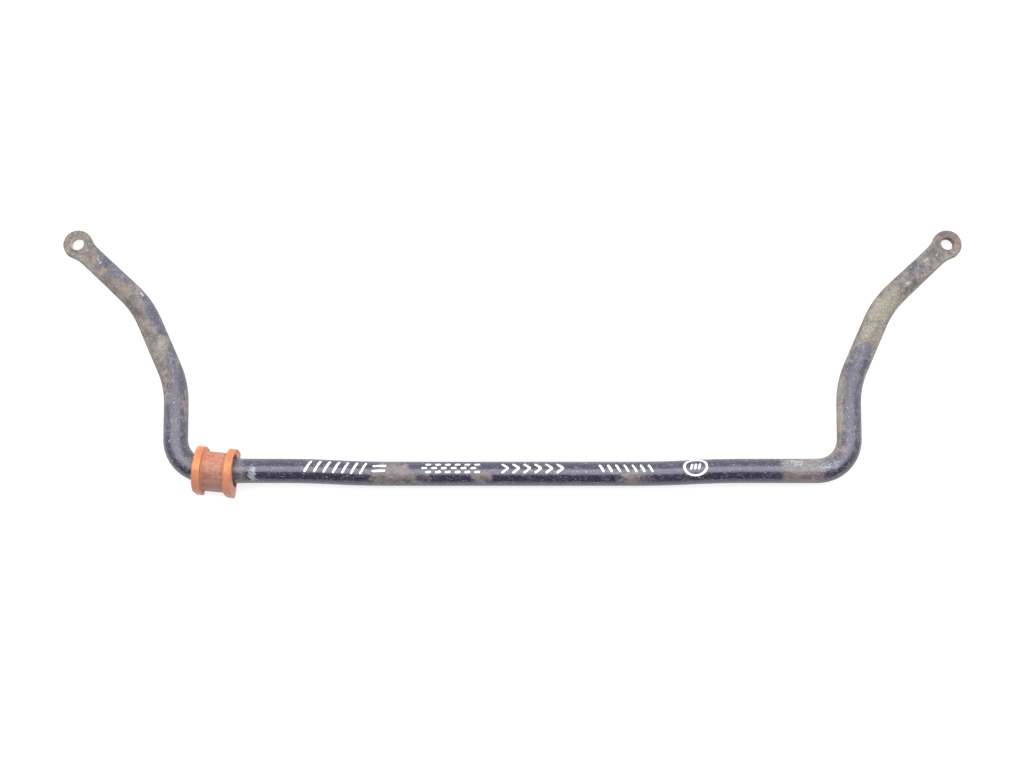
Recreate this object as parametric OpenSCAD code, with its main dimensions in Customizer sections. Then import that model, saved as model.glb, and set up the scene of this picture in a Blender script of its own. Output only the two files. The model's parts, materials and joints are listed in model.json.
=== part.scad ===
// Automotive sway bar (anti-roll bar) with one split bush on its left seat.
// Millimetres. X runs along the bar, Y from the bar towards the eyes, Z up.
// Z = 0 is the plane that the middle of the bar, the bush and the two arms rest on.

/* [Bar] */
// Diameter of the bar
bar_d = 26; // [20:0.5:27]
// Length of the straight middle that lies lowest
middle_len = 260; // [160:5:360]
// How far the middle is set back from the line of the two seats
middle_set_back = 2; // [0:0.5:6]
// Bend radius of the shallow S-bends between the middle and the seats
s_bend_r = 450; // [250:10:700]
// Straight length between the two curves of an S-bend
s_link_len = 12; // [5:1:30]
// Straight length of each bush seat
seat_len = 77; // [60:0.5:120]

/* [Arms] */
// Bend radius at the corner between a seat and its arm
corner_r = 35.5; // [33:0.5:60]
// Angle turned at the corner
corner_turn = 88; // [75:1:92]
// Straight length from the corner to the knee
leg_len = 39; // [20:1:80]
// Bend radius at the knee
knee_r = 100; // [50:5:150]
// Outward turn at the knee
knee_turn = 23; // [10:1:30]
// Straight length from the knee to the flare
shin_len = 56; // [30:1:90]
// Bend radius at the flare
flare_r = 110; // [50:5:150]
// Outward turn at the flare
flare_turn = 22; // [10:1:30]
// Straight length from the flare to the centre of the eye
end_len = 80; // [70:1:110]

/* [Eyes] */
// Outside diameter of an eye
eye_d = 32; // [30:0.5:36]
// Thickness of an eye and of the forged flat behind it
eye_t = 9; // [8:0.5:14]
// Diameter of the hole for the drop-link bolt
eye_hole_d = 14; // [10:0.5:16]
// Rounding of the eye's outer edges
eye_edge_r = 2; // [1:0.25:3]
// Radius of the hollow on each side of the neck
neck_r = 30; // [20:1:40]
// Length of the flat, from the centre of the eye
flat_len = 30; // [24:1:40]
// Length of the taper between the flat and the round bar
taper_len = 36; // [20:1:38]

/* [Bush] */
// Length of the bush along the bar
bush_len = 41; // [36:0.5:50]
// Height of the bush's bore above its flat base
bush_h = 20; // [18:0.5:26]
// Radius of the round top of the flanges
flange_r = 25; // [23:0.5:30]
// Width of each flange
flange_w = 8; // [5:0.5:11]
// Bevel along the base corners of the flanges
flange_bevel = 2; // [1:0.5:8]
// Radius of the round top of the groove between the flanges
groove_r = 20; // [18:0.5:22]
// Bevel along the base corners of the groove
groove_bevel = 1; // [0.5:0.5:3]
// Radial running clearance of the bore on the bar
bore_gap = 0.05; // [0.02:0.01:0.1]
// Radius of the rounded lead-in at each end of the bore
mouth_r = 22.4; // [20:0.1:24]
// Depth of the rounded lead-in
mouth_len = 13; // [11:0.5:14]
// Width of the slit that lets the bush open over the bar
slit_w = 1.2; // [0.8:0.1:2]
// How far the bush is pushed past the start of the corner bend
bush_overhang = 12; // [0:0.5:12]

/* [Hidden] */
$fn = 96;

bar_r = bar_d / 2;
bend_thinning = 0.05; // how much thinner a bend draws the bar, all round
lap = 1.5; // length of the slight taper that runs a straight piece into the bend at its end
lap_drop = 0.15; // how far that taper closes in, so that it ends inside the bend
spare = 1; // how far a cutting shape stands past what it cuts

// Headings of the arm's straight pieces, in the arm's own plane, from the X axis
leg_way = corner_turn;
shin_way = leg_way - knee_turn;
end_way = shin_way - flare_turn;

// The S-bends lift the seats from the middle to the height of the bush's bore
middle_drop = bush_h - bar_r;
s_offset = norm([middle_set_back, middle_drop]);
s_roll = atan2(middle_drop, middle_set_back);
s_turn = acos((2 * s_bend_r - s_offset) / norm([2 * s_bend_r, s_link_len]))
    - atan2(s_link_len, 2 * s_bend_r);
s_len = 2 * s_bend_r * sin(s_turn) + s_link_len * cos(s_turn);
corner_x = middle_len / 2 + s_len + seat_len;

// How far the eye's centre lies from the line of the seats, measured in the arm's plane
eye_reach = corner_r * (1 - cos(leg_way))
    + leg_len * sin(leg_way)
    + knee_r * (cos(shin_way) - cos(leg_way))
    + shin_len * sin(shin_way)
    + flare_r * (cos(end_way) - cos(shin_way))
    + end_len * sin(end_way);

// The arms slope down about the line of the seats until the bar touches Z = 0 where its taper starts
taper_reach = eye_reach - (flat_len + taper_len) * sin(end_way);
arm_slope = asin(bush_h / norm([taper_reach, bar_r])) - atan2(bar_r, taper_reach);

// The origin lies halfway between the bush's front and the tips of the eyes
tip_out = eye_reach + eye_d / 2 - eye_edge_r;
tip_up = eye_t / 2 - eye_edge_r;
back_y = tip_out * cos(arm_slope) + tip_up * sin(arm_slope) + eye_edge_r;
seat_y = (flange_r - back_y) / 2;

// Straight piece of bar from the origin along X, with a lap at each end
module straight(length) {
    rotate([0, 90, 0])
        rotate_extrude()
            polygon([
                [0, -lap],
                [bar_r - lap_drop, -lap],
                [bar_r, 0],
                [bar_r, length],
                [bar_r - lap_drop, length + lap],
                [0, length + lap]
            ]);
}

// Bend that starts at the origin along X, and turns to the left or, if turn is negative, to the right
module bend(radius, turn) {
    mirror([0, turn < 0 ? 1 : 0, 0])
        translate([0, radius, 0])
            rotate([0, 0, -90])
                rotate_extrude(angle = abs(turn))
                    translate([radius, 0]) circle(r = bar_r - bend_thinning);
}

// Moves its children from the start of a bend to its end
module past_bend(radius, turn) {
    side = turn < 0 ? -1 : 1;
    translate([radius * sin(abs(turn)), side * radius * (1 - cos(turn)), 0])
        rotate([0, 0, turn]) children();
}

// Flat ring with rounded outer edges, before its hole is drilled
module eye_blank() {
    rotate_extrude() {
        square([eye_d / 2 - eye_edge_r, eye_t / 2]);
        square([eye_d / 2, eye_t / 2 - eye_edge_r]);
        intersection() {
            translate([eye_d / 2 - eye_edge_r, eye_t / 2 - eye_edge_r]) circle(r = eye_edge_r);
            square([eye_d, eye_t]);
        }
    }
}

// Web that fills one side of the neck with a hollow curve between the eye and the bar
module neck_side() {
    bite = 0.5; // lets the hollow cross the eye and the bar at a slight angle, not graze them
    hollow_y = bar_r + neck_r - bite;
    hollow_x = -sqrt(pow(eye_d / 2 + neck_r - bite, 2) - pow(hollow_y, 2));
    web_t = eye_t - 2 * eye_edge_r;
    translate([0, 0, -web_t / 2])
        linear_extrude(web_t)
            difference() {
                translate([hollow_x, 0]) square([-hollow_x, eye_d / 2 - spare]);
                translate([hollow_x, hollow_y]) circle(r = neck_r);
            }
}

// Side view of what the forging presses away above the flat
module pressed_side() {
    flat_x = end_len - flat_len;
    slope = (bar_r - eye_t / 2) / taper_len;
    polygon([
        [flat_x, eye_t / 2],
        [flat_x - taper_len - spare / slope, bar_r + spare],
        [end_len + lap + spare, bar_r + spare],
        [end_len + lap + spare, eye_t / 2]
    ]);
}

// Last straight of an arm: round bar, taper, flat and drilled eye
module arm_end() {
    difference() {
        union() {
            difference() {
                straight(end_len);
                for (side = [0, 1])
                    mirror([0, 0, side])
                        rotate([90, 0, 0])
                            linear_extrude(bar_d + 2 * spare, center = true) pressed_side();
            }
            translate([end_len, 0, 0]) {
                for (side = [0, 1]) {
                    mirror([0, 0, side]) eye_blank();
                    mirror([0, side, 0]) neck_side();
                }
            }
        }
        translate([end_len, 0, 0]) cylinder(d = eye_hole_d, h = eye_t + 2 * spare, center = true);
    }
}

// One arm, from the start of its corner bend
module arm() {
    bend(corner_r, corner_turn);
    past_bend(corner_r, corner_turn) {
        straight(leg_len);
        translate([leg_len, 0, 0]) {
            bend(knee_r, -knee_turn);
            past_bend(knee_r, -knee_turn) {
                straight(shin_len);
                translate([shin_len, 0, 0]) {
                    bend(flare_r, -flare_turn);
                    past_bend(flare_r, -flare_turn) arm_end();
                }
            }
        }
    }
}

// Shallow S-bend from the end of the middle up to a seat
module s_bend() {
    rotate([s_roll, 0, 0]) {
        bend(s_bend_r, s_turn);
        past_bend(s_bend_r, s_turn) {
            straight(s_link_len);
            translate([s_link_len, 0, 0]) bend(s_bend_r, -s_turn);
        }
    }
}

// Everything to the right of the straight middle
module bar_side() {
    translate([middle_len / 2, -middle_set_back, -middle_drop]) s_bend();
    translate([corner_x - seat_len, 0, 0]) straight(seat_len);
    translate([corner_x, 0, 0]) rotate([-arm_slope, 0, 0]) arm();
}

// One-piece forged bar
module sway_bar() {
    color([0.13, 0.13, 0.15])
        translate([0, seat_y, bush_h]) {
            translate([-middle_len / 2, -middle_set_back, -middle_drop]) straight(middle_len);
            for (side = [0, 1])
                mirror([side, 0, 0]) bar_side();
        }
}

// Slice of the bush along X: round top, straight sides and flat base
module bush_slice(radius, width, bevel) {
    rotate([90, 0, 90])
        linear_extrude(width) {
            intersection() {
                circle(r = radius);
                translate([-radius - spare, 0]) square([2 * (radius + spare), radius + spare]);
            }
            polygon([
                [-radius, 0],
                [-radius, bevel - bush_h],
                [bevel - radius, -bush_h],
                [radius - bevel, -bush_h],
                [radius, bevel - bush_h],
                [radius, 0]
            ]);
        }
}

// Rounded lead-in of the bore at X = 0, opening towards -X, as the shape to cut away
module bore_mouth() {
    start_r = bar_r + bore_gap;
    end_r = start_r + mouth_r - sqrt(pow(mouth_r, 2) - pow(mouth_len, 2));
    rotate([0, 90, 0])
        rotate_extrude()
            difference() {
                square([end_r, mouth_len]);
                translate([start_r + mouth_r, mouth_len]) circle(r = mouth_r);
            }
}

// Split bush, from its left end along X
module bushing() {
    color([0.93, 0.52, 0.28])
        translate([-corner_x - bush_overhang, seat_y, bush_h])
            difference() {
                union() {
                    bush_slice(groove_r, bush_len, groove_bevel);
                    bush_slice(flange_r, flange_w, flange_bevel);
                    translate([bush_len - flange_w, 0, 0])
                        bush_slice(flange_r, flange_w, flange_bevel);
                }
                translate([-spare, 0, 0])
                    rotate([0, 90, 0]) cylinder(r = bar_r + bore_gap, h = bush_len + 2 * spare);
                bore_mouth();
                translate([bush_len, 0, 0]) mirror([1, 0, 0]) bore_mouth();
                translate([-spare, 0, -slit_w / 2])
                    cube([bush_len + 2 * spare, flange_r + spare, slit_w]);
            }
}

sway_bar();
bushing();
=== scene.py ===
"""Looks of the sway bar: a lofted forged bar with drilled eyes, a split bush, and paint-pen marks.

Metres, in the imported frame: X runs along the bar, Y from the bar towards the eyes, Z up.
"""

import json
import math

import bmesh
import bpy
from mathutils import Matrix, Vector, noise


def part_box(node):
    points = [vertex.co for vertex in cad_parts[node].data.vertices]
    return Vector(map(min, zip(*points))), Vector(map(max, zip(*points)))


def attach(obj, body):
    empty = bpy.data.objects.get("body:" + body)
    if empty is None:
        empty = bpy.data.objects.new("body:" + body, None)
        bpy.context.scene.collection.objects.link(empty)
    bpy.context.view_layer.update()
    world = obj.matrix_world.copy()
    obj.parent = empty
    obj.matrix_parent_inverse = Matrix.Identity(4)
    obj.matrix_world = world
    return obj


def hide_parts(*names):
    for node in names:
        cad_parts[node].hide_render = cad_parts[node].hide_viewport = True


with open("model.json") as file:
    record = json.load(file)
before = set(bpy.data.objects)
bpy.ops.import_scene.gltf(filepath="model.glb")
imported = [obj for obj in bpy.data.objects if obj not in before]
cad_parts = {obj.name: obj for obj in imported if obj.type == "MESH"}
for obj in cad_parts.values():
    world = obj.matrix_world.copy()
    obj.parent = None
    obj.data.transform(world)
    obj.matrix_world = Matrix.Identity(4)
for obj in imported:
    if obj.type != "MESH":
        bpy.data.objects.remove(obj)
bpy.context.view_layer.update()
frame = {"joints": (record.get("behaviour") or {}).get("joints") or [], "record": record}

MM = 0.001

# Where the record puts the bush's axis and the eyes
JOINT = frame["joints"][0]
MOUNTS = {m["name"]: m for m in frame["record"]["mounts"]}
SEAT = Vector(JOINT["pos_m"])
EYE = Vector(MOUNTS["right_eye"]["pos_m"])
LEFT_EYE = Vector(MOUNTS["left_eye"]["pos_m"])
ARM_UP = Vector(MOUNTS["right_eye"]["axis"])
HOLE_R = MOUNTS["right_eye"]["dims"]["r_mm"] * MM
EYE_T = MOUNTS["right_eye"]["dims"]["length_mm"] * MM
BUSH_LOW, BUSH_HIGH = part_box("bushing")

# The bar's driving sizes, as in the CAD source
BAR_R = 13 * MM
MIDDLE_LEN = 260 * MM
SET_BACK = 2 * MM
S_BEND_R = 450 * MM
S_LINK = 12 * MM
SEAT_LEN = 77 * MM
CORNER_R, CORNER_TURN = 35.5 * MM, math.radians(88)
LEG_LEN = 39 * MM
KNEE_R, KNEE_TURN = 100 * MM, math.radians(23)
SHIN_LEN = 56 * MM
FLARE_R, FLARE_TURN = 110 * MM, math.radians(22)
END_LEN = 80 * MM
EYE_R = 16 * MM
FLAT_LEN = 30 * MM
TAPER_LEN = 36 * MM

ALONG = Vector((1, 0, 0))


def smooth(low, high, value):
    """0 below low, 1 above high, and an S-curve between them."""
    t = min(1, max(0, (value - low) / (high - low)))
    return t * t * (3 - 2 * t)


def mix(a, b, share):
    return a + (b - a) * share


# ---------------------------------------------------------------- the bar's centreline


class Route:
    """Straights and bends laid end to end, each in the plane of X and a side direction."""

    def __init__(self, start):
        self.here = Vector(start)
        self.heading = 0.0
        self.side = Vector((0, 1, 0))
        self.length = 0.0
        self.pieces = []

    def add(self, length, curvature=0.0):
        """Adds a straight, or an arc whose curvature is positive to the left."""
        self.pieces.append((self.length, self.here.copy(), self.heading, self.side.copy(), curvature))
        self.length += length
        self.here, _ = self.at(self.length)
        self.heading += curvature * length

    def bend(self, radius, turn):
        self.add(radius * abs(turn), math.copysign(1 / radius, turn))

    def at(self, s):
        """Point and direction at length s from the start."""
        start, here, heading, side, k = next(p for p in reversed(self.pieces) if s >= p[0] or p[0] == 0)
        t = s - start
        h = heading + k * t
        if k:
            x = (math.sin(h) - math.sin(heading)) / k
            y = (math.cos(heading) - math.cos(h)) / k
        else:
            x = t * math.cos(h)
            y = t * math.sin(h)
        return here + ALONG * x + side * y, ALONG * math.cos(h) + side * math.sin(h)


def half_route():
    """Centreline from the middle of the bar to the centre of the right eye."""
    rise = Vector((0, SET_BACK, SEAT.z - BAR_R))
    turn = math.acos((2 * S_BEND_R - rise.length) / math.hypot(2 * S_BEND_R, S_LINK))
    turn -= math.atan2(S_LINK, 2 * S_BEND_R)
    route = Route((0, SEAT.y - SET_BACK, BAR_R))
    route.add(MIDDLE_LEN / 2)
    route.side = rise.normalized()
    route.bend(S_BEND_R, turn)
    route.add(S_LINK)
    route.bend(S_BEND_R, -turn)
    route.add(SEAT_LEN)
    route.corner = route.length
    route.side = ARM_UP.cross(ALONG)
    route.bend(CORNER_R, CORNER_TURN)
    route.add(LEG_LEN)
    route.bend(KNEE_R, -KNEE_TURN)
    route.add(SHIN_LEN)
    route.bend(FLARE_R, -FLARE_TURN)
    route.add(END_LEN)
    return route


ROUTE = half_route()
HALF = ROUTE.length


def bar_at(s):
    """Point, direction, sideways and upward on the whole bar, where s runs from left eye to right eye."""
    point, way = ROUTE.at(abs(s))
    if s < 0:
        point, way = Vector((-point.x, point.y, point.z)), Vector((way.x, -way.y, -way.z))
    side = ARM_UP.cross(way).normalized()
    return point, way, side, way.cross(side)


# ---------------------------------------------------------------- mesh helpers


def new_object(name, verts, faces, material, layers=None):
    """Object from points and faces, with a float attribute for each named layer."""
    mesh = bpy.data.meshes.new(name)
    mesh.from_pydata([tuple(v) for v in verts], [], faces)
    shell = bmesh.new()
    shell.from_mesh(mesh)
    bmesh.ops.recalc_face_normals(shell, faces=shell.faces)
    shell.to_mesh(mesh)
    shell.free()
    for key, values in (layers or {}).items():
        kind = "FLOAT_VECTOR" if isinstance(values[0], (tuple, Vector)) else "FLOAT"
        layer = mesh.attributes.new(key, kind, "POINT")
        flat = [c for v in values for c in v] if kind == "FLOAT_VECTOR" else values
        layer.data.foreach_set("vector" if kind == "FLOAT_VECTOR" else "value", flat)
    mesh.materials.append(material)
    mesh.polygons.foreach_set("use_smooth", [True] * len(mesh.polygons))
    mesh.update()
    obj = bpy.data.objects.new(name, mesh)
    bpy.context.scene.collection.objects.link(obj)
    return obj


def bridge(faces, low, high, closed=True):
    """Quads between two rows of point numbers."""
    count = len(low)
    for i in range(count if closed else count - 1):
        j = (i + 1) % count
        faces.append((low[i], low[j], high[j], high[i]))


# ---------------------------------------------------------------- the bar's mesh

AROUND = 72  # points round the bar
EDGE = 7  # points from the middle of a side to the start of the top or bottom
NECK = 25 * MM  # from the eye's centre back to where the loft ends and the eye begins
NECK_W = 12.1 * MM  # half width of the flat just behind the neck
HOLLOW_R = 34 * MM  # radius of the hollow on each side of the neck
NARROWS_FROM = 150 * MM  # from the eye's centre back to where the bar starts to narrow to NECK_W
FULL_FLAT = 26 * MM  # from the eye's centre back to where the rounded taper is fully flat
ROUNDED = 0.35  # share of the rounded taper in the thickness, against a straight one
SOFTEN = 1.6 * MM  # how gently the pressed faces meet the round sides
COARSE_STEP = 5 * MM  # between the rings of points in the middle of the bar
FINE_STEP = 1.8 * MM  # between them from the seats outwards
RIM = 0.7 * MM  # rounding of the hole's edges
WASHER_R = 11.6 * MM  # radius of the ring that a washer has worn
WASHER_DEEP = 0.18 * MM
WASHER_EDGE = 0.5 * MM  # width of the step at the ring's edge
NECK_STEP = 2 * MM  # between the points along the straight neck
HOLLOW_STEPS = 8
TIP_STEPS = 40
CLOSEST = 0.4 * MM  # points of the eye's outline nearer than this are merged

# Rows of an eye's face, from its edge to the bore: a share of the way to the washer's ring, or a radius
FACE_ROWS = [(None, 0.2), (None, 0.4), (None, 0.6), (None, 0.8), (WASHER_R, None)]
FACE_ROWS += [(r * MM, None) for r in (11.35, 11.1, 10, 9, 8.2)]
FACE_ROWS += [(HOLE_R + RIM * (1 - math.sin(math.pi / 2 * i / 4)), None) for i in range(5)]


def pressed(v, half):
    """Height v after pressing between two faces at plus and minus half, with softened edges."""
    low = abs(v)
    gap = max(0, SOFTEN - abs(low - half)) / SOFTEN
    return math.copysign(min(low, half) - gap * gap * SOFTEN / 4, v)


def ring_shape(s):
    """Half width and half thickness of the bar at s."""
    left = HALF - abs(s)
    thin = smooth(FLAT_LEN + TAPER_LEN, FULL_FLAT, left)
    slope = min(1, max(0, (FLAT_LEN + TAPER_LEN - left) / TAPER_LEN))
    half = mix(BAR_R + SOFTEN, EYE_T / 2, mix(slope, thin, ROUNDED))
    return mix(BAR_R, NECK_W, smooth(NARROWS_FROM, NECK, left)), half


def section(s):
    """Outline of the bar at s as distances to the side and up, from the inner side over the top."""
    width, half = ring_shape(s)
    points = []
    for i in range(AROUND):
        angle = 2 * math.pi * i / AROUND
        points.append((width * math.cos(angle), pressed(BAR_R * math.sin(angle), half)))
    return points


def stations():
    """Lengths along the bar at which it has a ring of points, closer together where it bends."""
    end = HALF - NECK
    places = [0.0]
    s = 0.0
    while s < end:
        step = COARSE_STEP if s < ROUTE.corner - SEAT_LEN else FINE_STEP
        s = min(end, s + step)
        if end - s < step / 2:
            s = end
        places.append(s)
    return [-p for p in reversed(places[1:])] + places


def eye_outline():
    """Outline of an eye from one corner of its neck round the tip to the other, with outward normals."""
    hollow = Vector((0, NECK_W + HOLLOW_R))
    hollow.x = -math.sqrt((EYE_R + HOLLOW_R) ** 2 - hollow.y ** 2)
    touch = hollow.normalized()
    start = -math.pi / 2
    stop = math.atan2(-touch.y, -touch.x)
    points = []
    for i in range(int((hollow.x + NECK) / NECK_STEP) + 1):
        points.append((Vector((-NECK + i * NECK_STEP, NECK_W)), Vector((0, 1))))
    for i in range(HOLLOW_STEPS + 1):
        a = mix(start, stop, i / HOLLOW_STEPS)
        way = Vector((math.cos(a), math.sin(a)))
        points.append((hollow + way * HOLLOW_R, -way))
    half = list(points)
    tip = math.atan2(touch.y, touch.x)
    for i in range(1, TIP_STEPS):
        a = mix(tip, -tip, i / TIP_STEPS)
        way = Vector((math.cos(a), math.sin(a)))
        points.append((way * EYE_R, way))
    points += [(Vector((p.x, -p.y)), Vector((n.x, -n.y))) for p, n in reversed(half)]
    clean = [points[0]]
    for p, n in points[1:]:
        if (p - clean[-1][0]).length > CLOSEST:
            clean.append((p, n))
    return clean


def eye_rows(s):
    """Distances from the outline and heights of the eye's side, from the lower face to the upper one."""
    _, half = ring_shape(s)
    rows = []
    for i in range(-EDGE, EDGE + 1):
        angle = 2 * math.pi * i / AROUND
        rows.append((BAR_R * (1 - math.cos(angle)), pressed(BAR_R * math.sin(angle), half)))
    return rows


def add_eye(end, ring, verts, faces, shape):
    """Adds the eye beyond the loft's last ring. end is -1 for the left eye and 1 for the right."""
    s = end * HALF
    centre, way, side, up = bar_at(s)
    out = way * end
    half = shape[EDGE][1]

    def place(p, v):
        verts.append(centre + out * p.x + side * p.y + up * v)
        return len(verts) - 1

    outline = eye_outline()
    rows = eye_rows(s)
    inner = [ring[i % AROUND] for i in range(-EDGE, EDGE + 1)]
    outer = [ring[AROUND // 2 - i] for i in range(-EDGE, EDGE + 1)]
    columns = [inner]
    for p, n in outline[1:-1]:
        columns.append([place(p - n * inset, v) for inset, v in rows])
    columns.append(outer)
    for a, b in zip(columns, columns[1:]):
        bridge(faces, a, b, closed=False)
    top_chord = [ring[i] for i in range(AROUND // 2 - EDGE, EDGE - 1, -1)]
    low_chord = [ring[i % AROUND] for i in range(AROUND // 2 + EDGE, AROUND - EDGE + 1)]
    for sign, chord, edge in ((1, top_chord, -1), (-1, low_chord, 0)):
        rim = [c[edge] for c in columns] + chord[1:-1]
        flat = [Vector(((verts[i] - centre).dot(out), (verts[i] - centre).dot(side))) for i in rim]
        heights = [(verts[i] - centre).dot(up) for i in rim]
        last = rim
        for r, share in FACE_ROWS:
            row = []
            for p, h in zip(flat, heights):
                on_ring = p.normalized() * (WASHER_R if r is None else r)
                q = on_ring if share is None else mix(p, on_ring, share)
                d = q.length
                sink = WASHER_DEEP * smooth(WASHER_R, WASHER_R - WASHER_EDGE, d)
                fall = RIM - math.sqrt(max(0, RIM ** 2 - max(0, HOLE_R + RIM - d) ** 2))
                level = sign * (half - sink - fall) if share is None else mix(h, sign * half, share)
                row.append(place(q, level))
            bridge(faces, last, row)
            last = row
        if sign > 0:
            top_bore = last
        else:
            low_bore = last
    offsets = [verts[i] - centre for i in top_bore]
    middle = [place(Vector((offset.dot(out), offset.dot(side))), 0) for offset in offsets]
    bridge(faces, top_bore, middle)
    bridge(faces, middle, low_bore)


def build_bar(material):
    """Lofts the bar from eye to eye, adds the eyes, and paints the layers that its material reads."""
    verts, faces, rings = [], [], []
    places = stations()
    for s in places:
        point, _, side, up = bar_at(s)
        ring = []
        for u, v in section(s):
            ring.append(len(verts))
            verts.append(point + side * u + up * v)
        rings.append(ring)
    for a, b in zip(rings, rings[1:]):
        bridge(faces, a, b)
    shape = section(places[-1])
    add_eye(-1, rings[0], verts, faces, shape)
    add_eye(1, rings[-1], verts, faces, shape)
    spots = []
    for s in places:
        for i, (u, v) in enumerate(section(s)):
            spots.append(((s, u, v), 360 * i / AROUND))
    spots += [spot_on_eye(v) for v in verts[len(spots):]]
    layers = bar_layers(verts, spots)
    return new_object("forged_bar", verts, faces, material, layers)


# ---------------------------------------------------------------- where the bar is worn, rusty and dirty

# Patches: length along the bar from its middle in mm (left is negative), angle round it from its inner
# side over the top in degrees, half length in mm, half angle in degrees, and strength. PAINT_LEFT and
# PAINT_RIGHT are places on the arms where the black paint still shows.
PAINT_LEFT = [
    (-582, 44, 24, 40, 1.5),
    (-514, 30, 26, 48, 1.5),
    (-450, 34, 26, 50, 1.3),
    (-394, 100, 34, 62, 1.0),
    (-352, 110, 26, 80, 0.9),
    (-330, 100, 16, 110, 1.0),
]
PAINT_RIGHT = [
    (587, 72, 12, 52, 1.0),
    (556, 36, 12, 20, 0.6),
    (460, 82, 23, 50, 1.1),
    (412, 116, 36, 52, 1.1),
    (372, 120, 30, 56, 0.9),
    (342, 112, 18, 70, 1.2),
]
SAND_AND_RIM_LIGHT = [
    (521, 88, 27, 58, 0.85),
    (488, 56, 14, 30, 0.5),
    # These two rows, on the right arm's outer side, are partly dust and partly painted rim light
    (490, 142, 20, 36, 0.5),
    (556, 142, 24, 36, 0.3),
    (404, 30, 34, 22, 0.8),
    (345, 28, 22, 26, 0.5),
    (-482, 66, 8, 22, 0.8),
    (-470, 112, 46, 36, 0.25),
    (-420, 132, 14, 30, 0.3),
]
BROWN = [
    (-408, 16, 22, 26, 0.8),
    (-128, 104, 22, 70, 0.85),
    (-96, 122, 12, 40, 0.5),
    (-33, 122, 12, 32, 0.9),
    (128, 124, 22, 32, 0.75),
    (60, 134, 12, 18, 0.4),
    (-557, 114, 20, 34, 0.5),
    (-520, 116, 22, 30, 0.4),
    (575, 120, 16, 36, 0.55),
    (302, 122, 20, 50, 0.45),
]
SCUFFS = [
    (298, 60, 8, 20, 0.6),
    (-273, 118, 4, 36, 0.9),
    (566, 100, 3, 7, 1.1),
    (-540, 44, 3, 8, 1.5),
    (-604, 76, 1.6, 5, 1.1),
    (-599, 78, 1.6, 5, 1.1),
    (603, 76, 5, 14, 0.4),
    (334, 84, 12, 26, 0.4),
]
SPECKS = [
    (-388, 92, 42, 16, 1.2),
    (-388, 92, 42, 40, 0.4),
    (-345, 88, 22, 30, 0.7),
    (384, 110, 26, 40, 0.8),
    (410, 100, 40, 60, 0.55),
    (470, 90, 30, 50, 0.4),
    (-170, 90, 110, 80, 0.06),
    (110, 100, 190, 60, 0.06),
]

# Seats that a bush has rubbed bare: from and to along the bar in mm, and strength
WORN_SEATS = [(-330, -282, 0.7), (284, 326, 1.0)]
SEAT_FADE = 6  # how softly they end, in mm

# Grime and dust at lengths along the bar in mm: the middle is cleaner than the arms
GRIME_LEVELS = [(-640, 1.0), (-440, 0.95), (-405, 0.55), (-370, 0.2), (-325, 0.0), (-240, -0.6)]
GRIME_LEVELS += [(0, -0.5), (250, -0.55), (325, 0.1), (350, 0.45), (400, 0.6), (440, 0.85), (640, 1.0)]
DUST_LEVELS = [(-640, 0.9), (-420, 0.7), (-380, 0.4), (-330, 0.2), (-280, 0.08), (270, 0.08)]
DUST_LEVELS += [(330, 0.25), (400, 0.5), (460, 0.8), (640, 0.9)]


def level(table, x):
    """Value at x on a line through the table's points."""
    for (x0, y0), (x1, y1) in zip(table, table[1:]):
        if x <= x1:
            return mix(y0, y1, max(0, x - x0) / (x1 - x0))
    return table[-1][1]


def between(start, stop, s):
    """1 from start to stop along the bar, fading to 0 outside them."""
    return smooth(start - SEAT_FADE, start + SEAT_FADE, s) - smooth(stop - SEAT_FADE, stop + SEAT_FADE, s)


def patches(rows, s, angle):
    """How strongly the patches reach this spot: half a patch's strength at its edge."""
    total = 0
    for at, middle, half_length, half_angle, strength in rows:
        ds = (s - at) / half_length
        if abs(ds) < 1.5:
            da = ((angle - middle + 180) % 360 - 180) / half_angle
            total += strength * (1 - smooth(0.5, 1.5, math.hypot(ds, da)))
    return total


def dirt(rows, s, angle):
    """Patches of dirt, with clean paint between them along the middle of the bar."""
    total = patches(rows, s, angle)
    clean = 1 - smooth(270, 350, abs(s))
    return total - 0.5 * clean * (1 - smooth(0, 0.6, total))


def spot_on_eye(point):
    """Place and angle of a point beyond the loft's end, as if the bar ran on."""
    end = -1 if point.x < 0 else 1
    centre, way, side, up = bar_at(end * HALF)
    offset = point - centre
    along, across, above = offset.dot(way), offset.dot(side), offset.dot(up)
    lift = above / (EYE_T / 2) * math.sqrt(max(0, BAR_R ** 2 - across ** 2))
    return (end * HALF + along, across, above), math.degrees(math.atan2(lift, across)) % 360


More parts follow.
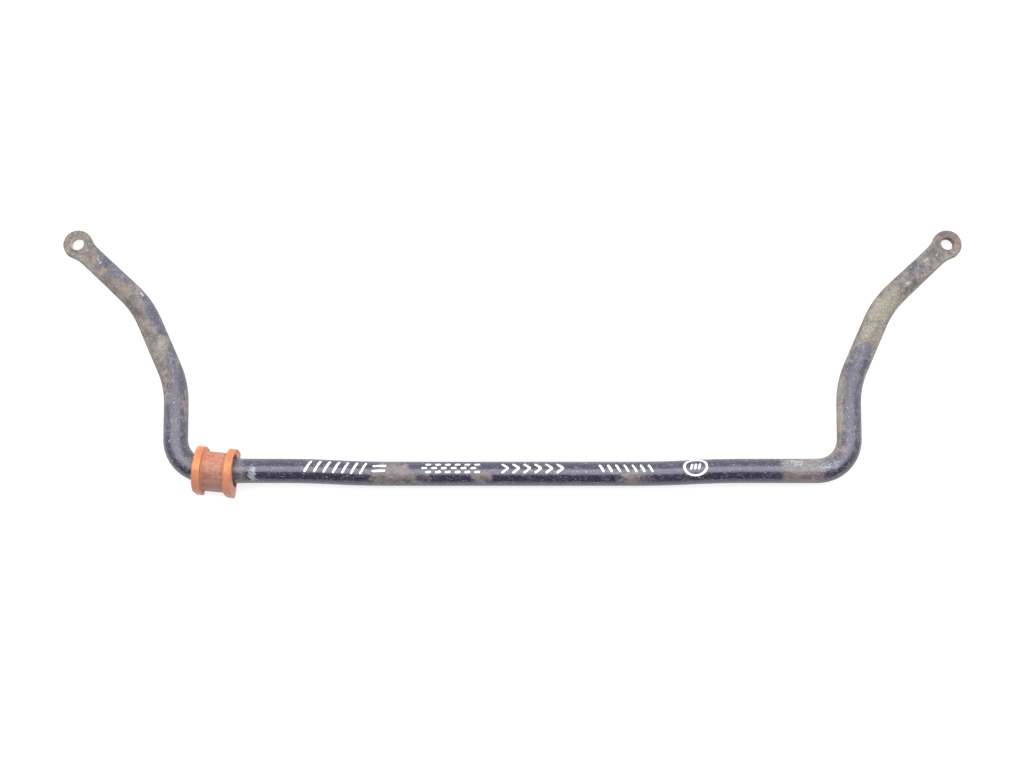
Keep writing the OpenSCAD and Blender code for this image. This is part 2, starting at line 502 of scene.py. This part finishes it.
def bar_layers(verts, spots):
    """Layers that the bar's material reads, from each point's place along, across and above the bar."""
    names = ("grime", "front", "dust", "sand_and_rim_light", "brown", "scuff", "specks", "worn", "washer", "bore_bounce_light")
    layers = {name: [] for name in names}
    layers["place"] = [place for place, angle in spots]
    for v, (place, angle) in zip(verts, spots):
        s = place[0] / MM
        under = smooth(-40, -80, 180 - angle) if angle > 180 else 0
        paint = patches(PAINT_LEFT if s < 0 else PAINT_RIGHT, s, angle)
        layers["grime"].append(level(GRIME_LEVELS, s) - 0.75 * paint + 0.25 * under)
        layers["front"].append(smooth(92, 118, angle) if angle <= 180 else 1.0)
        layers["dust"].append(level(DUST_LEVELS, s))
        # Paler colour over the arms' outer sides: partly dust, partly painted rim light from the table
        outer = smooth(350, 390, abs(s)) * smooth(120, 160, angle)
        layers["sand_and_rim_light"].append(dirt(SAND_AND_RIM_LIGHT, s, angle) + 0.42 * outer)
        layers["brown"].append(dirt(BROWN, s, angle))
        layers["scuff"].append(patches(SCUFFS, s, angle))
        layers["specks"].append(patches(SPECKS, s, angle))
        layers["worn"].append(max(strength * between(a, b, s) for a, b, strength in WORN_SEATS))
        reach = (v - EYE).length
        layers["washer"].append(1 - smooth(WASHER_R - 0.6 * MM, WASHER_R + 0.6 * MM, reach))
        # Painted bounce light: the left eye's bore is painted pale where light from the table falls into
        # it
        from_bore = (v - LEFT_EYE).cross(ARM_UP).length - HOLE_R
        layers["bore_bounce_light"].append(1 - smooth(0.1 * MM, 0.6 * MM, from_bore))
    return layers


# ---------------------------------------------------------------- materials


class Surface:
    """A node material, built with short calls. Colours and numbers may be values or sockets."""

    def __init__(self, name):
        self.material = bpy.data.materials.new(name)
        self.material.use_nodes = True
        self.tree = self.material.node_tree
        self.shader = self.tree.nodes["Principled BSDF"]

    def feed(self, socket, value):
        if isinstance(value, bpy.types.NodeSocket):
            self.tree.links.new(value, socket)
        elif isinstance(value, tuple) and len(value) == 3 and socket.type == "RGBA":
            socket.default_value = (*value, 1)
        else:
            socket.default_value = value

    def node(self, kind, inputs, **settings):
        node = self.tree.nodes.new("ShaderNode" + kind)
        for key, value in settings.items():
            setattr(node, key, value)
        for key, value in inputs.items():
            self.feed(node.inputs[key], value)
        return node

    def sum(self, a, b):
        return self.node("Math", {0: a, 1: b}, operation="ADD").outputs[0]

    def times(self, a, b):
        return self.node("Math", {0: a, 1: b}, operation="MULTIPLY").outputs[0]

    def layer(self, name):
        return self.node("Attribute", {}, attribute_name=name).outputs["Fac"]

    def stretched(self, where, x, y, z):
        return self.node("VectorMath", {0: where, 1: (x, y, z)}, operation="MULTIPLY").outputs[0]

    def noise(self, where, size, detail=5.0, roughness=0.6, distortion=0.0):
        """Noise from 0 to 1 whose lumps are about size metres across."""
        inputs = {"Vector": where, "Scale": 1 / size, "Detail": detail, "Roughness": roughness}
        inputs["Distortion"] = distortion
        return self.node("TexNoise", inputs).outputs["Fac"]

    def grow(self, value, low, high):
        """0 where value is below low, 1 above high, smooth between."""
        inputs = {"Value": value, "From Min": low, "From Max": high}
        return self.node("MapRange", inputs, interpolation_type="SMOOTHSTEP").outputs["Result"]

    def ragged(self, mask, tear, amount, soft):
        """A mask with its edge torn by noise."""
        torn = self.sum(mask, self.times(self.sum(tear, -0.5), amount))
        return self.grow(torn, 0.5 - soft, 0.5 + soft)

    def blend(self, share, a, b):
        """Colour a where share is 0, colour b where it is 1."""
        node = self.node("Mix", {}, data_type="RGBA")
        sockets = [i for i in node.inputs if i.enabled]
        for socket, value in zip(sockets, (share, a, b)):
            self.feed(socket, value)
        return next(o for o in node.outputs if o.enabled)

    def bump(self, height, distance, strength=1.0, under=None):
        inputs = {"Height": height, "Distance": distance, "Strength": strength}
        if under is not None:
            inputs["Normal"] = under
        return self.node("Bump", inputs).outputs["Normal"]

    def finish(self, **inputs):
        for key, value in inputs.items():
            self.feed(self.shader.inputs[key.replace("_", " ")], value)
        return self.material


def bar_material():
    """Gloss black paint, with dust, dirt, brown rust, scuffs and seats worn to the metal, painted rim
    light on the arms' outer sides, and painted bounce light in the left eye's bore.
    """
    m = Surface("worn_black_paint")
    place = m.node("Attribute", {}, attribute_name="place").outputs["Vector"]

    # Noise in lumps of three sizes, and one drawn out along the bar
    lengthwise = m.stretched(place, 0.3, 1, 1)
    big = m.noise(place, 15 * MM, 4, 0.6)
    mid = m.noise(place, 5 * MM, 6, 0.65)
    fine = m.noise(place, 1.6 * MM, 5, 0.65)
    streak = m.noise(lengthwise, 2.4 * MM, 6, 0.65, 0.5)
    torn = m.sum(m.times(big, 0.42), m.sum(m.times(mid, 0.38), m.times(fine, 0.20)))
    mottle = m.grow(torn, 0.40, 0.60)

    # Black paint under a thin grey film, which is thicker where the bar is dusty
    colour = m.blend(m.grow(mid, 0.35, 0.7), (0.011, 0.008, 0.022), (0.024, 0.021, 0.042))
    film = m.times(m.grow(m.sum(m.times(streak, 0.5), m.times(big, 0.5)), 0.48, 0.64), 0.07)
    grain = m.sum(m.times(m.grow(fine, 0.42, 0.60), 0.45), m.sum(m.times(mottle, 0.3), 0.15))
    film = m.sum(film, m.times(m.layer("dust"), grain))
    colour = m.blend(m.times(film, 0.85), colour, (0.145, 0.144, 0.178))

    # Grime with rustier lumps, then patches of sandy dirt, which on the arms' outer sides is partly
    # painted rim light, and patches of brown dirt
    grime_colour = m.blend(mottle, (0.106, 0.089, 0.079), (0.250, 0.218, 0.182))
    grime_colour = m.blend(m.times(m.grow(big, 0.48, 0.64), 0.5), grime_colour, (0.172, 0.136, 0.110))
    grime = m.ragged(m.layer("grime"), torn, 3.6, 0.42)
    colour = m.blend(m.times(grime, 0.92), colour, grime_colour)
    sand_and_rim_light = m.times(m.ragged(m.layer("sand_and_rim_light"), torn, 3.6, 0.55), 0.6)
    sand_colour = m.blend(m.grow(fine, 0.36, 0.62), (0.21, 0.197, 0.140), (0.41, 0.383, 0.280))
    colour = m.blend(sand_and_rim_light, colour, sand_colour)
    brown = m.times(m.ragged(m.layer("brown"), torn, 3.6, 0.5), 0.7)
    brown_colour = m.blend(mottle, (0.095, 0.075, 0.070), (0.24, 0.195, 0.165))
    colour = m.blend(brown, colour, brown_colour)

    # Bare seats, which are browner in front, a washer's rusty ring, and painted bounce light in the left
    # eye's bore: a pale grey that stands in for light the table throws into it
    worn = m.ragged(m.layer("worn"), torn, 1.8, 0.5)
    rubbed = m.grow(m.sum(m.times(torn, 0.5), m.times(streak, 0.5)), 0.40, 0.60)
    upper = m.blend(rubbed, (0.122, 0.109, 0.101), (0.230, 0.208, 0.184))
    lower = m.blend(rubbed, (0.090, 0.068, 0.070), (0.21, 0.165, 0.155))
    colour = m.blend(m.times(worn, 0.85), colour, m.blend(m.layer("front"), upper, lower))
    washer = m.times(m.ragged(m.layer("washer"), torn, 1.6, 0.4), 0.7)
    colour = m.blend(washer, colour, m.blend(mottle, (0.13, 0.085, 0.072), (0.26, 0.185, 0.155)))
    colour = m.blend(m.layer("bore_bounce_light"), colour, m.blend(rubbed, (0.40, 0.37, 0.33), (0.58, 0.55, 0.50)))

    # Pits in the grime, pale scuffs and small pale specks
    pits = m.grow(m.noise(place, 1.9 * MM, 3, 0.5), 0.56, 0.68)
    colour = m.blend(m.times(pits, m.times(grime, 0.5)), colour, (0.07, 0.062, 0.070))
    scratch = m.sum(m.times(streak, 0.4), m.times(fine, 0.6))
    scuff = m.ragged(m.layer("scuff"), scratch, 5.0, 0.3)
    colour = m.blend(m.times(scuff, 0.6), colour, (0.46, 0.46, 0.52))
    cells = m.node("TexVoronoi", {"Vector": place, "Scale": 1 / (4.2 * MM), "Randomness": 1.0})
    dots = m.grow(m.sum(cells.outputs["Distance"], m.times(fine, 0.25)), 0.30, 0.19)
    specks = m.times(dots, m.grow(m.sum(m.layer("specks"), m.times(big, 0.6)), 0.45, 0.95))
    colour = m.blend(m.times(specks, 0.65), colour, (0.52, 0.52, 0.58))

    # Matt and rough where it is dirty, glossy where the paint is clean
    dull = m.node("Math", {0: grime, 1: m.times(brown, 0.9)}, operation="MAXIMUM").outputs[0]
    dull = m.node("Math", {0: dull, 1: sand_and_rim_light}, operation="MAXIMUM").outputs[0]
    dull = m.node("Math", {0: dull, 1: m.times(worn, 0.5)}, operation="MAXIMUM").outputs[0]
    roughness = m.sum(m.sum(m.times(dull, 0.40), m.times(film, 0.95)), m.times(fine, 0.10))
    height = m.sum(m.times(dull, 0.5), m.times(m.times(mid, dull), 1.1))
    height = m.sum(height, m.times(m.times(fine, dull), 0.5))
    relief = m.bump(height, 0.30 * MM, 0.8)
    relief = m.bump(m.sum(streak, m.times(mid, 0.5)), 0.05 * MM, 0.5, relief)
    m.shader.inputs["Specular IOR Level"].default_value = 1.0
    m.shader.inputs["Specular Tint"].default_value = (0.90, 0.88, 1.0, 1)
    return m.finish(Base_Color=colour, Roughness=m.sum(roughness, 0.155), Normal=relief)


def bush_material():
    """Orange polyurethane, paler and pinker towards the front and on the end faces, dirty in the groove,
    with painted light in the creases and painted shade in the bore.
    """
    m = Surface("orange_polyurethane")
    place = m.node("TexCoord", {}).outputs["Object"]
    big = m.noise(place, 12 * MM, 4, 0.55)
    mid = m.noise(place, 3.5 * MM, 6, 0.65)
    fine = m.noise(place, 0.7 * MM, 4, 0.6)
    torn = m.sum(m.times(big, 0.4), m.sum(m.times(mid, 0.4), m.times(fine, 0.2)))
    colour = m.blend(m.grow(big, 0.38, 0.62), (0.485, 0.155, 0.065), (0.605, 0.244, 0.078))
    # Paler, pinker orange towards the front and on the end faces
    pale_front_and_ends = m.ragged(m.layer("pale_front_and_ends"), torn, 1.6, 0.5)
    colour = m.blend(m.times(pale_front_and_ends, 0.8), colour, (0.50, 0.200, 0.120))
    groove = m.blend(m.grow(torn, 0.42, 0.58), (0.31, 0.110, 0.066), (0.47, 0.190, 0.111))
    colour = m.blend(m.layer("groove"), colour, groove)
    dirt = m.times(m.ragged(m.layer("smudge"), torn, 4.0, 0.45), 0.7)
    soot = m.blend(m.grow(mid, 0.4, 0.6), (0.175, 0.120, 0.125), (0.30, 0.195, 0.175))
    colour = m.blend(dirt, colour, soot)
    # Painted light: the flanges' inner faces and the groove's corners get a brighter orange than the
    # flanges, lifting the shade in these creases
    colour = m.blend(m.times(m.layer("painted_crease_light"), 0.7), colour, (0.68, 0.200, 0.085))
    # Painted shade: dark red-brown in the bore and round its mouths on the end faces
    colour = m.blend(m.times(m.layer("painted_bore_shade"), 0.9), colour, (0.10, 0.030, 0.026))
    specks = m.grow(m.noise(place, 1.6 * MM, 2, 0.5), 0.66, 0.74)
    colour = m.blend(m.times(specks, 0.35), colour, (0.30, 0.14, 0.10))
    roughness = m.sum(m.times(dirt, 0.25), m.sum(m.times(mid, 0.14), 0.40))
    relief = m.bump(m.sum(m.times(mid, 0.6), m.times(fine, 0.35)), 0.14 * MM, 0.8)
    m.shader.inputs["Subsurface Weight"].default_value = 0.12
    m.shader.inputs["Subsurface Radius"].default_value = (1.0, 0.35, 0.15)
    m.shader.inputs["Subsurface Scale"].default_value = 2 * MM
    return m.finish(Base_Color=colour, Roughness=roughness, Normal=relief)


def mark_material():
    """White paint pen, thin where the pen ran dry."""
    m = Surface("white_paint_pen")
    place = m.node("TexCoord", {}).outputs["Object"]
    mid = m.noise(place, 1.5 * MM, 5, 0.6)
    colour = m.blend(m.grow(mid, 0.35, 0.6), (0.72, 0.73, 0.78), (0.93, 0.93, 0.94))
    relief = m.bump(mid, 0.06 * MM, 0.6)
    return m.finish(Base_Color=colour, Roughness=m.sum(m.times(mid, 0.2), 0.35), Normal=relief)


def floor_material():
    """Plain matt light table: lit from inside, so that shadows on it stay pale."""
    m = Surface("light_table")
    m.shader.inputs["Emission Color"].default_value = (1, 1, 1, 1)
    m.shader.inputs["Emission Strength"].default_value = 0.70
    return m.finish(Base_Color=(0.36, 0.36, 0.365), Roughness=0.65)


# ---------------------------------------------------------------- the bush

FLANGE_W = 8 * MM
FLANGE_BEVEL = 2 * MM
GROOVE_R = 20 * MM
GROOVE_BEVEL = 1 * MM
BORE_R = BAR_R + 0.12 * MM
MOUTH_R = 22.4 * MM
MOUTH_LEN = 13 * MM
SLIT = 1.2 * MM
COCKED = math.radians(-5.6)  # turn of the bush's outside where it is stretched over the bend
EDGE_R = 0.7 * MM  # rounding of the flanges' edges
CORNER_CUT = 0.4 * MM  # how far each side of a corner the outline cuts across it
ARC_STEPS = 44  # steps over the round top
SIDE_STEPS = (8, 2, 20, 2, 8)  # steps along the front, a bevel, the base, the other bevel and the back
EDGE_STEPS = 3  # steps round a rounded edge
RIM_STEPS = 4  # steps across the outside of a flange
FACE_STEPS = 6  # steps across an end face
GROOVE_STEPS = 6  # steps from a flange to the middle of the groove
WALLS = (1 / 3, 2 / 3, 0.92)  # rows down a groove's wall, as shares of its depth
BORE_STEPS = 22
WEAR_SCALE = 90  # hollows of the worn outside, per metre
WEAR_DEEP = 0.35 * MM
WEAR_ABOVE = 2 * MM  # the outside is worn only above this height over the base


def bush_outline(radius, bevel, height):
    """Outline across the bush's axis, from the slit's upper lip over the top to its lower lip."""
    start = math.asin(SLIT / 2 / radius)
    points = []
    for i in range(ARC_STEPS + 1):
        a = mix(start, math.pi, i / ARC_STEPS)
        points.append((radius * math.cos(a), radius * math.sin(a)))
    corners = [(-radius, 0), (-radius, bevel - height), (bevel - radius, -height)]
    corners += [(radius - bevel, -height), (radius, bevel - height), (radius, -SLIT / 2)]
    for (a, b), steps in zip(zip(corners, corners[1:]), SIDE_STEPS):
        cut = CORNER_CUT / math.dist(a, b)
        for i in range(steps + 1):
            share = mix(cut, 1 - cut, i / steps)
            points.append((mix(a[0], b[0], share), mix(a[1], b[1], share)))
    points.append(corners[-1])
    return points


def bore_outline(outline, radius):
    """Round outline with a point facing each point of the outer one."""
    points = []
    for y, z in outline:
        a = math.atan2(z, y)
        points.append((radius * math.cos(a), radius * math.sin(a)))
    lip = math.sqrt(radius ** 2 - (SLIT / 2) ** 2)
    points[0], points[-1] = (lip, SLIT / 2), (lip, -SLIT / 2)
    return points


def build_bush(material):
    """Joins rows of outlines round the outside and back through the bore, open along the slit."""
    length = BUSH_HIGH.x - BUSH_LOW.x
    height = SEAT.z - BUSH_LOW.z
    radius = (BUSH_HIGH.y - BUSH_LOW.y) / 2
    groove = bush_outline(GROOVE_R, GROOVE_BEVEL, height)

    def flange(inset):
        return bush_outline(radius - inset, FLANGE_BEVEL, height - inset)

    def bore(x):
        deep = max(0, MOUTH_LEN - min(x, length - x))
        return bore_outline(flange(0), BORE_R + MOUTH_R - math.sqrt(MOUTH_R ** 2 - deep ** 2))

    def blended(a, b, share):
        return [(mix(p[0], q[0], share), mix(p[1], q[1], share)) for p, q in zip(a, b)]

    # Rows from the left end of the bore round the outside to its right end, then back through the bore:
    # place along the axis, outline, how far it is cocked, and how deep it lies in the groove
    turns = [math.pi / 2 * i / EDGE_STEPS for i in range(EDGE_STEPS + 1)]
    edge = [(EDGE_R * (1 - math.cos(t)), flange(EDGE_R * (1 - math.sin(t)))) for t in turns]
    face = edge[0][1]
    half = [(0, blended(bore(0), face, i / FACE_STEPS), i / FACE_STEPS, 0) for i in range(FACE_STEPS)]
    half += [(x, outline, 1, 0) for x, outline in edge]
    half += [(FLANGE_W * i / RIM_STEPS, flange(0), 1, 0) for i in range(1, RIM_STEPS)]
    half += [(FLANGE_W - x, outline, 1, 0) for x, outline in reversed(edge)]
    half += [(FLANGE_W, blended(face, groove, share), 1, share) for share in WALLS]
    half += [(FLANGE_W + CORNER_CUT, groove, 1, 1)]
    inward = [mix(FLANGE_W, length / 2, i / GROOVE_STEPS) for i in range(1, GROOVE_STEPS + 1)]
    half += [(x, groove, 1, 1) for x in inward]
    rows = half + [(length - x, outline, share, deep) for x, outline, share, deep in reversed(half[:-1])]
    back = [length * (1 - i / BORE_STEPS) for i in range(1, BORE_STEPS)]
    rows += [(x, bore(x), 0, 0) for x in back]

    middle = Vector((BUSH_LOW.x + length / 2, SEAT.y, SEAT.z))
    verts = []
    faces = []
    numbers = []
    layers = {"groove": [], "painted_crease_light": [], "smudge": [], "pale_front_and_ends": [], "painted_bore_shade": []}
    for x, outline, share, deep in rows:
        row = []
        for y, z in outline:
            flat = Vector((x - length / 2, y, z))
            turned = Matrix.Rotation(COCKED, 3, "Z") @ flat
            local = mix(flat, turned, share)
            if z > WEAR_ABOVE - height:
                wear = noise.noise(flat * WEAR_SCALE) * WEAR_DEEP * share
                local += Vector((0, y, z)).normalized() * wear
            row.append(len(verts))
            verts.append(middle + local)
            root = min(abs(x - FLANGE_W), abs(length - FLANGE_W - x))
            layers["groove"].append(deep)
            # Painted light in the creases where the flanges meet the groove
            layers["painted_crease_light"].append(deep * (1 - smooth(0, 1.6 * MM, root)) if deep else 0.0)
            front = smooth(-8 * MM, 12 * MM, -y)
            rear = smooth(14 * MM, 20 * MM, y)
            layers["smudge"].append(deep * (0.12 + 0.42 * front + 0.45 * rear))
            # Paler, pinker orange towards the front and on the end faces
            layers["pale_front_and_ends"].append(smooth(-4 * MM, 24 * MM, -y) + (0.4 if x in (0, length) else 0))
            # Painted shade through the bore and at the inner edge of each end face
            layers["painted_bore_shade"].append(1 - smooth(0, 0.18, share))
        numbers.append(row)
    for a, b in zip(numbers, numbers[1:] + numbers[:1]):
        bridge(faces, a, b, closed=False)
    for column in (0, -1):
        faces.append([row[column] for row in numbers])
    bush = new_object("split_bush", verts, faces, material, layers)
    bush.data.set_sharp_from_angle(angle=math.radians(50))
    return bush


# ---------------------------------------------------------------- generic paint-pen marks

MARK_MIDDLE = 74  # angle round the bar at which the marks are centred, in degrees
MARK_W = 2.8 * MM
MARK_H = 0.10 * MM
MARK_STEP = 0.7 * MM  # between the points along a mark
MARK_FRAY = 0.22  # how unevenly wide a mark is
LOOP_STEPS = 38  # a ring is drawn once round and a little over
LOOP_TURN = 1 / 6  # angle of each step, in radians

# Section of a mark in shares of its half width and its height: crowned on top, sunk into the bar below
MARK_PROFILE = [(-1, -0.6), (-0.85, 0.5), (-0.4, 1), (0.4, 1), (0.85, 0.5), (1, -0.6), (0, -1.5)]


def dashes(start, stop, count, lean, tall):
    """Slanting strokes, side by side."""
    rows = []
    for i in range(count):
        x = mix(start, stop, i / (count - 1))
        rows.append([(x - lean / 2, -tall / 2), (x + lean / 2, tall / 2)])
    return rows


def chevrons(start, stop, count, wide, tall):
    """Arrowheads that point to the right."""
    rows = []
    for i in range(count):
        x = mix(start, stop, i / (count - 1))
        rows.append([(x - wide / 2, tall / 2), (x + wide / 2, 0), (x - wide / 2, -tall / 2)])
    return rows


def loop(x, wide, tall):
    """One oval ring."""
    angles = [i * LOOP_TURN for i in range(LOOP_STEPS + 1)]
    return [[(x + wide * math.cos(a), tall * math.sin(a)) for a in angles]]


def bricks(start, stop, count, tall):
    """Short lengthwise strokes in three staggered rows."""
    pitch = (stop - start) / count
    rows = []
    for i in range(count):
        x = start + pitch * i
        for line in (-1, 0, 1):
            shift = pitch * 0.4 * (line % 2)
            rows.append([(x + shift, line * tall / 2), (x + shift + pitch * 0.6, line * tall / 2 + 0.4)])
    return rows


# Marks, in mm along the bar from its middle and across the line on which they are centred
MARKS = dashes(-216, -158, 7, 7, 14)
MARKS += [[(-148, 2.4), (-133, 3.2)], [(-149, -3.4), (-134, -2.8)]]
MARKS += bricks(-96, -34, 6, 9)
MARKS += chevrons(-8, 50, 6, 7, 11)
MARKS += dashes(94, 146, 7, -5, 9)
MARKS += loop(194, 11.6, 9.6)
MARKS += dashes(190, 198, 3, 2, 7)


def smoothed(path):
    """Evenly spaced points along the path, in metres, with its corners rounded."""
    fine = []
    for a, b in zip(path, path[1:]):
        gap = math.hypot(b[0] - a[0], b[1] - a[1]) * MM
        count = max(1, round(gap / MARK_STEP))
        for i in range(count):
            fine.append(Vector((mix(a[0], b[0], i / count), mix(a[1], b[1], i / count))) * MM)
    fine.append(Vector(path[-1]) * MM)
    for _ in range(2):
        inner = [(a + b * 2 + c) / 4 for a, b, c in zip(fine, fine[1:], fine[2:])]
        fine = [fine[0], *inner, fine[-1]]
    return fine


def on_bar(spot, height):
    """Point over the bar at a spot (along it, and across the marks' line) and a height."""
    point, _, side, up = bar_at(spot.x)
    angle = math.radians(MARK_MIDDLE) - spot.y / BAR_R
    return point + (side * math.cos(angle) + up * math.sin(angle)) * (BAR_R + height)


def build_marks(material):
    """Each mark is a thin crowned strip of paint with rounded ends that follows the bar's surface."""
    verts, faces = [], []
    for number, path in enumerate(MARKS):
        spots = smoothed(path)
        rows = []
        for i, spot in enumerate(spots):
            before, after = spots[max(0, i - 1)], spots[min(len(spots) - 1, i + 1)]
            way = (after - before).normalized()
            across = Vector((-way.y, way.x))
            end = min(i, len(spots) - 1 - i) * MARK_STEP
            pinch = math.sqrt(max(0.06, 1 - max(0, 1 - end / (MARK_W / 2)) ** 2))
            fray = MARK_FRAY * noise.noise(Vector((spot.x / MM / 5, number, 0)))
            wide = MARK_W / 2 * pinch * (0.95 + fray)
            row = []
            for u, h in MARK_PROFILE:
                row.append(len(verts))
                verts.append(on_bar(spot + across * u * wide, MARK_H * h))
            rows.append(row)
        for a, b in zip(rows, rows[1:]):
            bridge(faces, a, b)
        faces.append(rows[0])
        faces.append(rows[-1])
    return new_object("paint_pen_marks", verts, faces, material)


# ---------------------------------------------------------------- floor, light and camera


def put(obj, place, look_at):
    """Links a light or a camera into the scene, at a place and aimed at a point."""
    obj.location = place
    obj.rotation_euler = (Vector(look_at) - Vector(place)).to_track_quat("-Z", "Y").to_euler()
    bpy.context.scene.collection.objects.link(obj)
    return obj


SOFTBOX_AT = (0, 0.25, 2.2)
SOFTBOX_AIM = (0, 0.25, 0)
SOFTBOX_SIZE = (4.4, 2.1)
SOFTBOX_WATTS = 84


def softbox(name, place, look_at, wide, tall, watts):
    light = bpy.data.lights.new(name, "AREA")
    light.shape = "RECTANGLE"
    light.size = wide
    light.size_y = tall
    light.energy = watts
    return put(bpy.data.objects.new(name, light), place, look_at)


TABLE_REACH = 40  # far enough for the table to fill the background at low angles
TABLE_GAP = 0.3 * MM  # keeps the table clear of the lowest surfaces


def build_floor():
    low = BUSH_LOW.z - TABLE_GAP
    corners = [(x * TABLE_REACH, y * TABLE_REACH, low) for x, y in ((-1, -1), (1, -1), (1, 1), (-1, 1))]
    mesh = bpy.data.meshes.new("floor")
    mesh.from_pydata(corners, [], [(0, 1, 2, 3)])
    mesh.materials.append(floor_material())
    floor = bpy.data.objects.new("floor", mesh)
    bpy.context.scene.collection.objects.link(floor)


ROOM_TURN = (-0.5, 0.6)  # how far back a direction points where the room starts and stops brightening
ROOM_LIGHT = (0.25, 1.35)  # its strength before and after


def build_world():
    """A room that is brighter behind the bar than in front of it."""
    world = bpy.data.worlds.new("studio")
    bpy.context.scene.world = world
    world.use_nodes = True
    nodes = world.node_tree.nodes
    links = world.node_tree.links
    nodes["Background"].inputs["Color"].default_value = (0.96, 0.97, 1.0, 1)
    place = nodes.new("ShaderNodeTexCoord")
    parts = nodes.new("ShaderNodeSeparateXYZ")
    room = nodes.new("ShaderNodeMapRange")
    room.interpolation_type = "SMOOTHSTEP"
    for key, value in zip(("From Min", "From Max"), ROOM_TURN):
        room.inputs[key].default_value = value
    for key, value in zip(("To Min", "To Max"), ROOM_LIGHT):
        room.inputs[key].default_value = value
    links.new(place.outputs["Generated"], parts.inputs[0])
    links.new(parts.outputs["Y"], room.inputs["Value"])
    links.new(room.outputs["Result"], nodes["Background"].inputs["Strength"])


CAMERA_UP = math.radians(78)
CAMERA_AWAY = 1.716
CAMERA_LENS = 56.25  # millimetres, as Blender's cameras take it
AIM = Vector((-0.5 * MM, SEAT.y + 95.2 * MM, BAR_R))


def build_camera():
    data = bpy.data.cameras.new("camera")
    data.lens = CAMERA_LENS
    back = Vector((0, -math.cos(CAMERA_UP), math.sin(CAMERA_UP)))
    bpy.context.scene.camera = put(bpy.data.objects.new("camera", data), AIM + back * CAMERA_AWAY, AIM)


bar = build_bar(bar_material())
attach(bar, "bar")
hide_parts("sway_bar")

bush = build_bush(bush_material())
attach(bush, "bush")
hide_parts("bushing")

marks = build_marks(mark_material())
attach(marks, "bar")

build_floor()
build_world()
softbox("overhead_softbox", SOFTBOX_AT, SOFTBOX_AIM, *SOFTBOX_SIZE, SOFTBOX_WATTS)
bpy.context.scene.view_settings.view_transform = "Standard"
build_camera()

bpy.context.view_layer.update()
